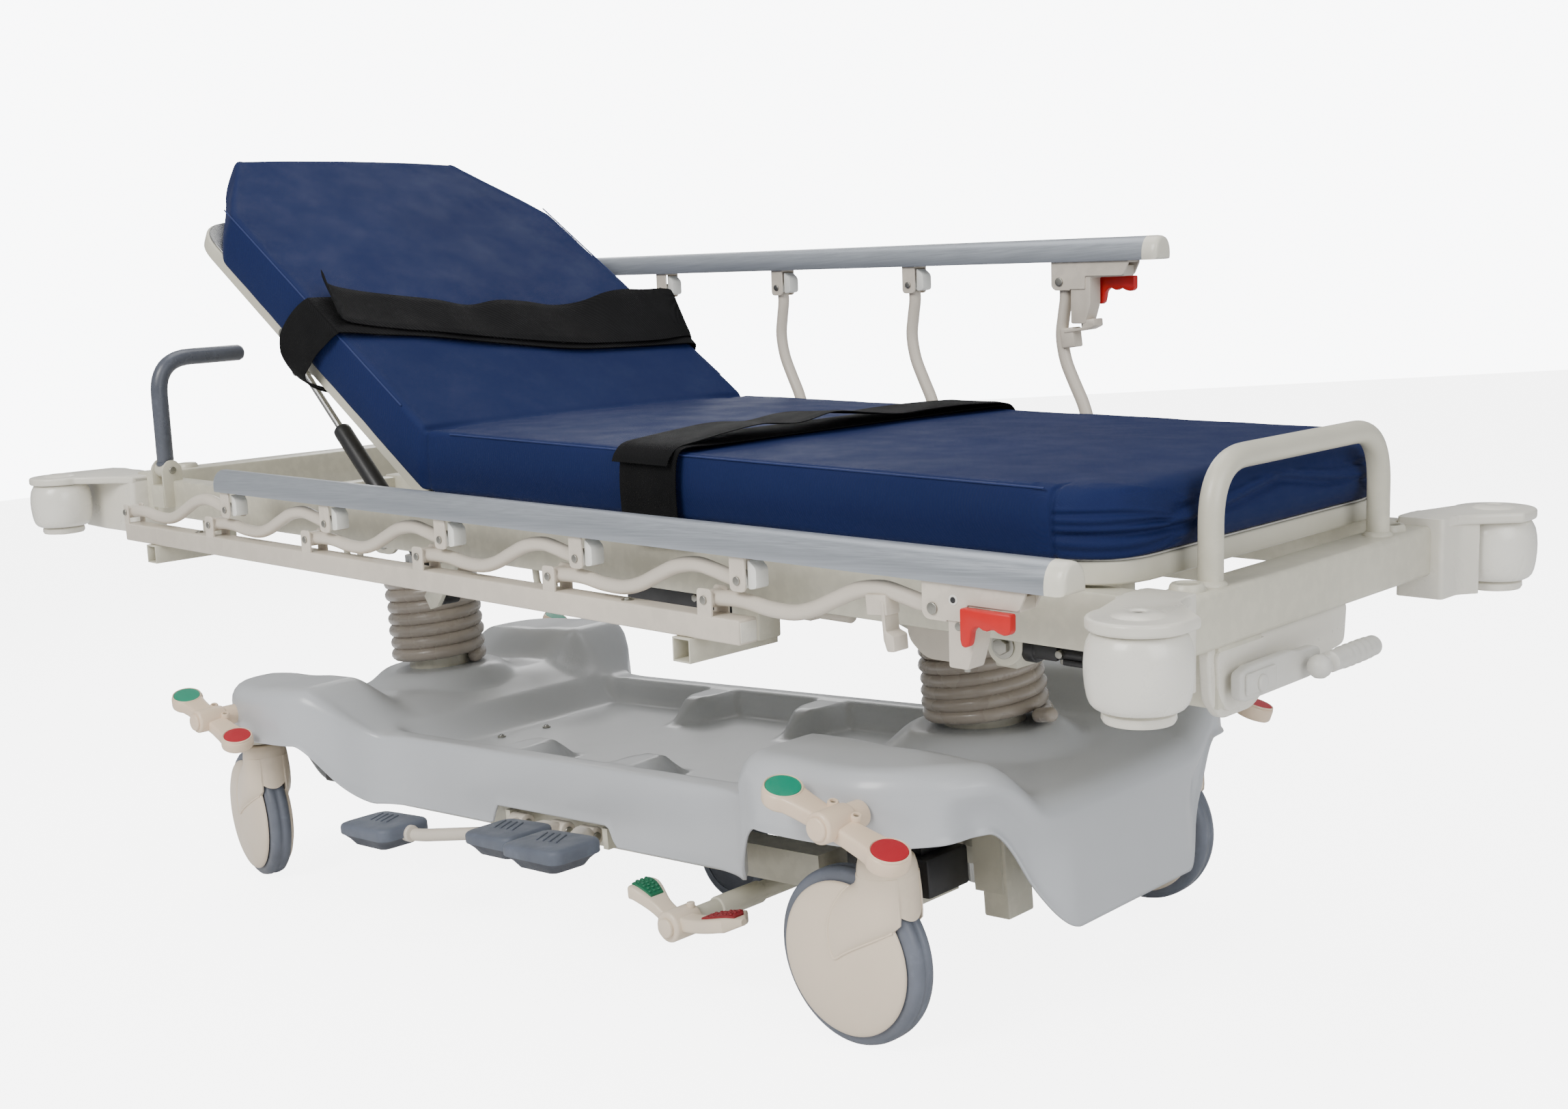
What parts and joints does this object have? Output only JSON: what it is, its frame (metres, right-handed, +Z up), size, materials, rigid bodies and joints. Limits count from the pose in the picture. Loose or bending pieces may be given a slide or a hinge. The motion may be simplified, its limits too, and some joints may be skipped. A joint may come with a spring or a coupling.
{
  "type": "stretcher trolley",
  "caption": "Wheeled patient stretcher trolley with a moulded base, two lifting columns, a raising backrest, a padded two-section deck and folding side rails.",
  "frame": {"origin": "on the floor, midway along the overall length and on the centre line", "axes": "+Z up, +X towards the foot end, -Y towards the side that carries the pump pedals"},
  "size_m": [2.1742, 0.849, 1.126],
  "materials": {
    "frame_paint": "satin warm ivory powder coat",
    "rail_paint": "satin beige powder coat",
    "base_plastic": "glossy pale blue-grey moulding",
    "ivory_plastic": "ivory moulding",
    "tyre_grey": "slate grey tread",
    "sleeve_plastic": "grey-beige ribbed sleeve",
    "bright_steel": "bright steel",
    "bumper_plastic": "glossy off-white",
    "mattress_cover": "navy coated fabric",
    "rail_grey": "satin grey",
    "pedal_rubber": "dark slate rubber",
    "handle_sleeve": "dark grey sleeve",
    "release_red": "red",
    "black_metal": "black",
    "crank_plastic": "light grey-beige"
  },
  "bodies": {
    "base": {"base_frame": "frame_paint", "base_cover": "base_plastic", "column_sleeve_head": "sleeve_plastic", "column_sleeve_foot": "sleeve_plastic"},
    "castor_hn": {"castor_fork_hn": "ivory_plastic"},
    "wheel_hn": {"castor_wheel_hn": "tyre_grey"},
    "brake_hn": {"brake_pedal_hn": "ivory_plastic"},
    "castor_hf": {"castor_fork_hf": "ivory_plastic"},
    "wheel_hf": {"castor_wheel_hf": "tyre_grey"},
    "brake_hf": {"brake_pedal_hf": "ivory_plastic"},
    "castor_fn": {"castor_fork_fn": "ivory_plastic"},
    "wheel_fn": {"castor_wheel_fn": "tyre_grey"},
    "brake_fn": {"brake_pedal_fn": "ivory_plastic"},
    "castor_ff": {"castor_fork_ff": "ivory_plastic"},
    "wheel_ff": {"castor_wheel_ff": "tyre_grey"},
    "brake_ff": {"brake_pedal_ff": "ivory_plastic"},
    "pump_lift": {"pump_pedal_lift": "pedal_rubber"},
    "pump_lower_head": {"pump_pedal_lower_head": "pedal_rubber"},
    "pump_lower_foot": {"pump_pedal_lower_foot": "pedal_rubber"},
    "steer_pedal": {"steer_pedal": "ivory_plastic"},
    "fifth_wheel_arm": {"fifth_wheel_arm": "bright_steel"},
    "fifth_wheel": {"fifth_wheel": "tyre_grey"},
    "head_piston": {"head_piston": "bright_steel"},
    "foot_piston": {"foot_piston": "bright_steel"},
    "head_knuckle": {"head_knuckle": "frame_paint"},
    "deck": {"deck_frame": "frame_paint", "leg_panel": "frame_paint", "mattress_seat": "mattress_cover", "crank_shaft": "black_metal", "rail_bar_near": "rail_paint", "rail_bar_far": "rail_paint"},
    "bumper_fn": {"bumper_roller_fn": "bumper_plastic"},
    "bumper_ff": {"bumper_roller_ff": "bumper_plastic"},
    "bumper_hn": {"bumper_roller_hn": "bumper_plastic"},
    "bumper_hf": {"bumper_roller_hf": "bumper_plastic"},
    "back": {"back_panel": "frame_paint", "mattress_back": "mattress_cover"},
    "gas_cylinder": {"gas_spring_cylinder": "black_metal"},
    "gas_rod": {"gas_spring_rod": "bright_steel"},
    "push_handle_near": {"push_handle_near": "handle_sleeve"},
    "push_handle_far": {"push_handle_far": "handle_sleeve"},
    "crank": {"crank_arm": "crank_plastic"},
    "crank_grip": {"crank_grip": "crank_plastic"},
    "post_near_1": {"rail_post_near_1": "rail_paint"},
    "post_near_2": {"rail_post_near_2": "rail_paint"},
    "post_near_3": {"rail_post_near_3": "rail_paint"},
    "post_near_4": {"rail_post_near_4": "rail_paint"},
    "post_near_5": {"rail_post_near_5": "rail_paint"},
    "post_near_6": {"rail_post_near_6": "rail_paint"},
    "rail_near": {"rail_top_near": "rail_grey"},
    "release_near": {"rail_release_near": "release_red"},
    "post_far_1": {"rail_post_far_1": "rail_paint"},
    "post_far_2": {"rail_post_far_2": "rail_paint"},
    "post_far_3": {"rail_post_far_3": "rail_paint"},
    "post_far_4": {"rail_post_far_4": "rail_paint"},
    "post_far_5": {"rail_post_far_5": "rail_paint"},
    "post_far_6": {"rail_post_far_6": "rail_paint"},
    "rail_far": {"rail_top_far": "rail_grey"},
    "release_far": {"rail_release_far": "release_red"}
  },
  "joints": [
    {"name": "castor_swivel_hn", "type": "hinge", "parent": "base", "child": "castor_hn", "pos_m": [-0.63242, -0.288, 0.22], "axis": [0, 0, 1], "continuous": true},
    {"name": "castor_spin_hn", "type": "hinge", "parent": "castor_hn", "child": "wheel_hn", "pos_m": [-0.68622, -0.27657, 0.1], "axis": [0.2079, 0.9781, 0], "continuous": true},
    {"name": "brake_hn", "type": "hinge", "parent": "base", "child": "brake_hn", "pos_m": [-0.63592, -0.367, 0.275], "axis": [0, -1, 0], "range_deg": [0, 39]},
    {"name": "castor_swivel_hf", "type": "hinge", "parent": "base", "child": "castor_hf", "pos_m": [-0.63242, 0.288, 0.22], "axis": [0, 0, 1], "continuous": true},
    {"name": "castor_spin_hf", "type": "hinge", "parent": "castor_hf", "child": "wheel_hf", "pos_m": [-0.68712, 0.28225, 0.1], "axis": [-0.1045, 0.9945, 0], "continuous": true},
    {"name": "brake_hf", "type": "hinge", "parent": "base", "child": "brake_hf", "pos_m": [-0.63592, 0.367, 0.275], "axis": [0, -1, 0], "range_deg": [0, 39]},
    {"name": "castor_swivel_fn", "type": "hinge", "parent": "base", "child": "castor_fn", "pos_m": [0.64958, -0.288, 0.22], "axis": [0, 0, 1], "continuous": true},
    {"name": "castor_spin_fn", "type": "hinge", "parent": "castor_fn", "child": "wheel_fn", "pos_m": [0.59458, -0.288, 0.1], "axis": [0, 1, 0], "continuous": true},
    {"name": "brake_fn", "type": "hinge", "parent": "base", "child": "brake_fn", "pos_m": [0.65308, -0.367, 0.275], "axis": [0, -1, 0], "range_deg": [0, 39]},
    {"name": "castor_swivel_ff", "type": "hinge", "parent": "base", "child": "castor_ff", "pos_m": [0.64958, 0.288, 0.22], "axis": [0, 0, 1], "continuous": true},
    {"name": "castor_spin_ff", "type": "hinge", "parent": "castor_ff", "child": "wheel_ff", "pos_m": [0.59458, 0.288, 0.1], "axis": [0, 1, 0], "continuous": true},
    {"name": "brake_ff", "type": "hinge", "parent": "base", "child": "brake_ff", "pos_m": [0.65308, 0.367, 0.275], "axis": [0, -1, 0], "range_deg": [0, 39]},
    {"name": "pump_lift", "type": "hinge", "parent": "base", "child": "pump_lift", "pos_m": [-0.06642, -0.23, 0.15], "axis": [1, 0, 0], "range_deg": [0, 15]},
    {"name": "pump_lower_head", "type": "hinge", "parent": "base", "child": "pump_lower_head", "pos_m": [0.02058, -0.23, 0.15], "axis": [1, 0, 0], "range_deg": [0, 15]},
    {"name": "pump_lower_foot", "type": "hinge", "parent": "base", "child": "pump_lower_foot", "pos_m": [0.07858, -0.23, 0.15], "axis": [1, 0, 0], "range_deg": [0, 15]},
    {"name": "steer_pedal", "type": "hinge", "parent": "base", "child": "steer_pedal", "pos_m": [0.32058, 0, 0.092], "axis": [0, 1, 0], "range_deg": [-12, 12]},
    {"name": "fifth_wheel_lift", "type": "hinge", "parent": "base", "child": "fifth_wheel_arm", "pos_m": [0.32058, 0, 0.092], "axis": [0, 1, 0], "range_deg": [-1.32, 1.32]},
    {"name": "fifth_wheel_spin", "type": "hinge", "parent": "fifth_wheel_arm", "child": "fifth_wheel", "pos_m": [0.11358, 0, 0.0675], "axis": [0, 1, 0], "continuous": true},
    {"name": "head_lift", "type": "slide", "parent": "base", "child": "head_piston", "axis": [0, 0, 1], "range_m": [-0.07, 0.2], "deforming": ["column_sleeve_head"]},
    {"name": "foot_lift", "type": "slide", "parent": "base", "child": "foot_piston", "axis": [0, 0, 1], "range_m": [0, 0.25], "deforming": ["column_sleeve_foot"]},
    {"name": "head_knuckle_pitch", "type": "hinge", "parent": "head_piston", "child": "head_knuckle", "pos_m": [-0.55126, 0, 0.51482], "axis": [0, -1, 0], "range_deg": [-10.24, 3.59]},
    {"name": "deck_pitch", "type": "hinge", "parent": "head_knuckle", "child": "deck", "pos_m": [-0.55126, 0, 0.51482], "axis": [0, -1, 0], "range_deg": [-0.01, 12.8]},
    {"name": "bumper_spin_fn", "type": "hinge", "parent": "deck", "child": "bumper_fn", "pos_m": [1.03796, -0.377, 0.46314], "axis": [0.0689, 0, 0.9976], "continuous": true},
    {"name": "bumper_spin_ff", "type": "hinge", "parent": "deck", "child": "bumper_ff", "pos_m": [1.03796, 0.377, 0.46314], "axis": [0.0689, 0, 0.9976], "continuous": true},
    {"name": "bumper_spin_hn", "type": "hinge", "parent": "deck", "child": "bumper_hn", "pos_m": [-1.03809, -0.377, 0.6066], "axis": [0.0689, 0, 0.9976], "continuous": true},
    {"name": "bumper_spin_hf", "type": "hinge", "parent": "deck", "child": "bumper_hf", "pos_m": [-1.03809, 0.377, 0.6066], "axis": [0.0689, 0, 0.9976], "continuous": true},
    {"name": "backrest", "type": "hinge", "parent": "deck", "child": "back", "pos_m": [-0.11535, 0, 0.59997], "axis": [0, 1, 0], "range_deg": [-33.4, 26.6]},
    {"name": "gas_spring_pitch", "type": "hinge", "parent": "deck", "child": "gas_cylinder", "pos_m": [-0.22088, -0.2, 0.45089], "axis": [0, 1, 0], "range_deg": [-32.2, 25.7]},
    {"name": "gas_spring_slide", "type": "slide", "parent": "gas_cylinder", "child": "gas_rod", "axis": [-0.6792, 0, 0.7339], "range_m": [-0.106, 0.085]},
    {"name": "push_handle_fold_near", "type": "hinge", "parent": "deck", "child": "push_handle_near", "pos_m": [-0.84348, -0.285, 0.65229], "axis": [-0.9976, 0, 0.0689], "range_deg": [0, 90]},
    {"name": "push_handle_fold_far", "type": "hinge", "parent": "deck", "child": "push_handle_far", "pos_m": [-0.84348, 0.285, 0.65229], "axis": [0.9976, 0, -0.0689], "range_deg": [0, 90]},
    {"name": "crank_turn", "type": "hinge", "parent": "deck", "child": "crank", "pos_m": [1.01899, -0.15, 0.40631], "axis": [0.9976, 0, -0.0689], "range_deg": [-150, 130]},
    {"name": "crank_grip_fold", "type": "hinge", "parent": "crank", "child": "crank_grip", "pos_m": [1.03399, -0.037, 0.40577], "axis": [-0.0689, 0, -0.9976], "range_deg": [0, 90]},
    {"name": "rail_raise_near", "type": "hinge", "parent": "deck", "child": "post_near_1", "pos_m": [-0.82247, -0.36, 0.5937], "axis": [0, -1, 0], "range_deg": [0, 92.2]},
    {"name": "rail_post_swing_near_2", "type": "hinge", "parent": "deck", "child": "post_near_2", "pos_m": [-0.5591, -0.36, 0.5755], "axis": [0, -1, 0], "range_deg": [0, 92.2]},
    {"name": "rail_post_swing_near_3", "type": "hinge", "parent": "deck", "child": "post_near_3", "pos_m": [-0.29573, -0.36, 0.5573], "axis": [0, -1, 0], "range_deg": [0, 92.2]},
    {"name": "rail_post_swing_near_4", "type": "hinge", "parent": "deck", "child": "post_near_4", "pos_m": [-0.03235, -0.36, 0.5391], "axis": [0, -1, 0], "range_deg": [0, 92.2]},
    {"name": "rail_post_swing_near_5", "type": "hinge", "parent": "deck", "child": "post_near_5", "pos_m": [0.23102, -0.36, 0.5209], "axis": [0, -1, 0], "range_deg": [0, 92.2]},
    {"name": "rail_post_swing_near_6", "type": "hinge", "parent": "deck", "child": "post_near_6", "pos_m": [0.49439, -0.36, 0.5027], "axis": [0, -1, 0], "range_deg": [0, 92.2]},
    {"name": "rail_level_near", "type": "hinge", "parent": "post_near_1", "child": "rail_near", "pos_m": [-0.5055, -0.36, 0.59784], "axis": [0, -1, 0], "range_deg": [-92.2, 0]},
    {"name": "rail_release_near", "type": "hinge", "parent": "rail_near", "child": "release_near", "pos_m": [0.85725, -0.38, 0.50367], "axis": [0, -1, 0], "range_deg": [0, 18]},
    {"name": "rail_raise_far", "type": "hinge", "parent": "deck", "child": "post_far_1", "pos_m": [-0.82247, 0.36, 0.5937], "axis": [0, -1, 0], "range_deg": [-92.2, 0]},
    {"name": "rail_post_swing_far_2", "type": "hinge", "parent": "deck", "child": "post_far_2", "pos_m": [-0.5591, 0.36, 0.5755], "axis": [0, -1, 0], "range_deg": [-92.2, 0]},
    {"name": "rail_post_swing_far_3", "type": "hinge", "parent": "deck", "child": "post_far_3", "pos_m": [-0.29573, 0.36, 0.5573], "axis": [0, -1, 0], "range_deg": [-92.2, 0]},
    {"name": "rail_post_swing_far_4", "type": "hinge", "parent": "deck", "child": "post_far_4", "pos_m": [-0.03235, 0.36, 0.5391], "axis": [0, -1, 0], "range_deg": [-92.2, 0]},
    {"name": "rail_post_swing_far_5", "type": "hinge", "parent": "deck", "child": "post_far_5", "pos_m": [0.23102, 0.36, 0.5209], "axis": [0, -1, 0], "range_deg": [-92.2, 0]},
    {"name": "rail_post_swing_far_6", "type": "hinge", "parent": "deck", "child": "post_far_6", "pos_m": [0.49439, 0.36, 0.5027], "axis": [0, -1, 0], "range_deg": [-92.2, 0]},
    {"name": "rail_level_far", "type": "hinge", "parent": "post_far_1", "child": "rail_far", "pos_m": [-0.83877, 0.36, 0.91028], "axis": [0, -1, 0], "range_deg": [0, 92.2]},
    {"name": "rail_release_far", "type": "hinge", "parent": "rail_far", "child": "release_far", "pos_m": [0.52398, 0.38, 0.81612], "axis": [0, -1, 0], "range_deg": [0, 18]}
  ],
  "couplings": [
    {"joint": "brake_hn", "follows": "brake_fn", "ratio": 1},
    {"joint": "brake_hf", "follows": "brake_fn", "ratio": 1},
    {"joint": "brake_ff", "follows": "brake_fn", "ratio": 1},
    {"joint": "fifth_wheel_lift", "follows": "steer_pedal", "ratio": 0.11},
    {"joint": "head_knuckle_pitch", "follows": "head_lift", "rad_per_m": -0.89286},
    {"joint": "deck_pitch", "follows": "foot_lift", "rad_per_m": 0.89286},
    {"joint": "gas_spring_pitch", "follows": "backrest", "ratio": 0.96},
    {"joint": "gas_spring_slide", "follows": "backrest", "m_per_rad": 0.179},
    {"joint": "rail_post_swing_near_2", "follows": "rail_raise_near", "ratio": 1},
    {"joint": "rail_post_swing_near_3", "follows": "rail_raise_near", "ratio": 1},
    {"joint": "rail_post_swing_near_4", "follows": "rail_raise_near", "ratio": 1},
    {"joint": "rail_post_swing_near_5", "follows": "rail_raise_near", "ratio": 1},
    {"joint": "rail_post_swing_near_6", "follows": "rail_raise_near", "ratio": 1},
    {"joint": "rail_level_near", "follows": "rail_raise_near", "ratio": -1},
    {"joint": "rail_post_swing_far_2", "follows": "rail_raise_far", "ratio": 1},
    {"joint": "rail_post_swing_far_3", "follows": "rail_raise_far", "ratio": 1},
    {"joint": "rail_post_swing_far_4", "follows": "rail_raise_far", "ratio": 1},
    {"joint": "rail_post_swing_far_5", "follows": "rail_raise_far", "ratio": 1},
    {"joint": "rail_post_swing_far_6", "follows": "rail_raise_far", "ratio": 1},
    {"joint": "rail_level_far", "follows": "rail_raise_far", "ratio": -1}
  ]
}
